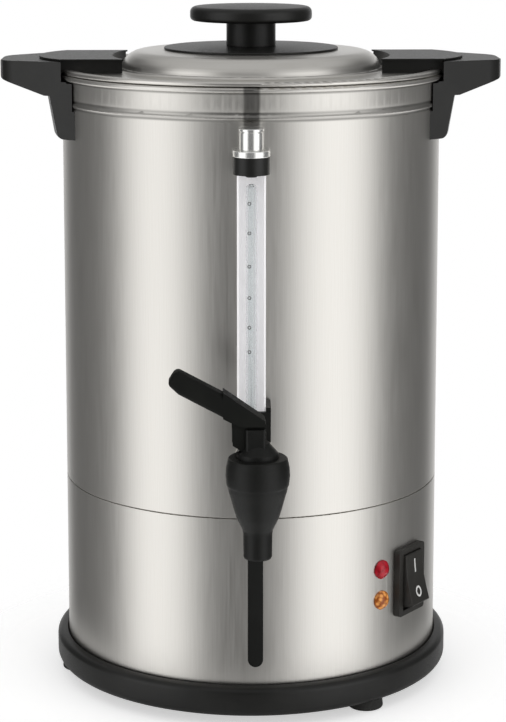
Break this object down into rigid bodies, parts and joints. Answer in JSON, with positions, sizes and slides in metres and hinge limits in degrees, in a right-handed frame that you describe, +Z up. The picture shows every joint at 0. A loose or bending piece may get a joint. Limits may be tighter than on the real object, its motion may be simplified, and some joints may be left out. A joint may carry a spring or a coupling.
{
  "type": "coffee urn",
  "caption": "Percolator coffee urn with a steel tank, twist-off lid, side handles, sight gauge, self-closing tap with a lever, rocker switch and lamps.",
  "frame": {"origin": "on the urn's upright axis, in the plane of the table under the feet", "axes": "+Z up along the axis; the tap faces -Y and the handles lie on +X and -X"},
  "size_m": [0.305, 0.3069, 0.4141],
  "materials": {
    "satin_steel": "satin, fine vertical grain",
    "plain_steel": "mill finish",
    "bright_metal": "polished",
    "black_plastic": "satin moulded",
    "foot_rubber": "matt",
    "silicone": "matt, translucent",
    "clear_glass": "clear",
    "red_lens": "translucent",
    "amber_lens": "translucent",
    "pale_ceramic": "matt",
    "dark_metal": "satin"
  },
  "bodies": {
    "root": {"tank": "satin_steel", "skirt": "satin_steel", "slot_strip": "black_plastic", "base_ring": "black_plastic", "base_plate": "plain_steel", "feet": "foot_rubber", "foot_screws": "bright_metal", "handle_left": "black_plastic", "handle_right": "black_plastic", "handle_screws": "bright_metal", "gauge_cap": "bright_metal", "gauge_flange": "bright_metal", "gauge_collar": "black_plastic", "gauge_stud": "bright_metal", "gauge_plug": "foot_rubber", "gauge_guard": "bright_metal", "gauge_glass": "clear_glass", "gauge_seal": "silicone", "gauge_fitting": "black_plastic", "tap_shank": "bright_metal", "shank_washers": "silicone", "shank_nut": "bright_metal", "tap_union_nut": "black_plastic", "tap_body": "black_plastic", "switch_bezel": "black_plastic", "red_lamp": "red_lens", "amber_lamp": "amber_lens", "lamp_nuts": "black_plastic", "main_element": "bright_metal", "keep_warm_element": "bright_metal", "element_clamp": "plain_steel", "tie_rod": "bright_metal", "tie_nuts": "bright_metal", "thermostat": "dark_metal", "dry_boil_cutout": "dark_metal", "terminal_block": "pale_ceramic", "cord_gland": "black_plastic", "gland_nut": "black_plastic"},
    "lid_seal": {"lid_gasket": "silicone"},
    "lid": {"lid": "satin_steel", "lug_left": "black_plastic", "lug_right": "black_plastic", "lug_screws": "bright_metal", "knob_base_disc": "black_plastic", "knob": "black_plastic", "knob_screw": "bright_metal"},
    "tap_swivel": {"tap_bonnet": "black_plastic", "lever_pin": "bright_metal", "valve_spring": "bright_metal"},
    "tap_lever": {"tap_lever": "black_plastic"},
    "valve_stem": {"valve_stem": "bright_metal", "seat_cup": "silicone"},
    "rocker": {"switch_rocker": "black_plastic"},
    "percolator": {"riser_tube": "plain_steel", "filter_basket": "plain_steel"},
    "cover": {"basket_cover": "plain_steel"}
  },
  "joints": [
    {"name": "lid_lift", "type": "slide", "parent": "root", "child": "lid_seal", "axis": [0, 0, 1], "range_m": [0, 0.1]},
    {"name": "lid_twist", "type": "hinge", "parent": "lid_seal", "child": "lid", "pos_m": [0, 0, 0.3745], "axis": [0, 0, 1], "range_deg": [0, 20]},
    {"name": "tap_turn", "type": "hinge", "parent": "root", "child": "tap_swivel", "pos_m": [0, -0.165, 0.17], "axis": [0, 0, 1], "range_deg": [0, 180]},
    {"name": "lever_press", "type": "hinge", "parent": "tap_swivel", "child": "tap_lever", "pos_m": [-0.0042, -0.165, 0.188], "axis": [0, -1, 0], "range_deg": [0, 22], "stiffness_Nm_per_rad": 0.4, "springref_deg": -5.73},
    {"name": "stem_lift", "type": "slide", "parent": "tap_swivel", "child": "valve_stem", "axis": [0, 0, 1], "range_m": [0, 0.0021], "deforming": ["valve_spring"]},
    {"name": "rocker_tilt", "type": "hinge", "parent": "root", "child": "rocker", "pos_m": [0.09043, -0.06692, 0.0734], "axis": [0.5948, 0.8039, 0], "range_deg": [0, 20]},
    {"name": "percolator_lift", "type": "slide", "parent": "root", "child": "percolator", "axis": [0, 0, 1], "range_m": [0, 0.028]},
    {"name": "cover_lift", "type": "slide", "parent": "percolator", "child": "cover", "axis": [0, 0, 1], "range_m": [0, 0.015]}
  ],
  "couplings": [
    {"joint": "stem_lift", "follows": "lever_press", "m_per_rad": 0.0052}
  ]
}
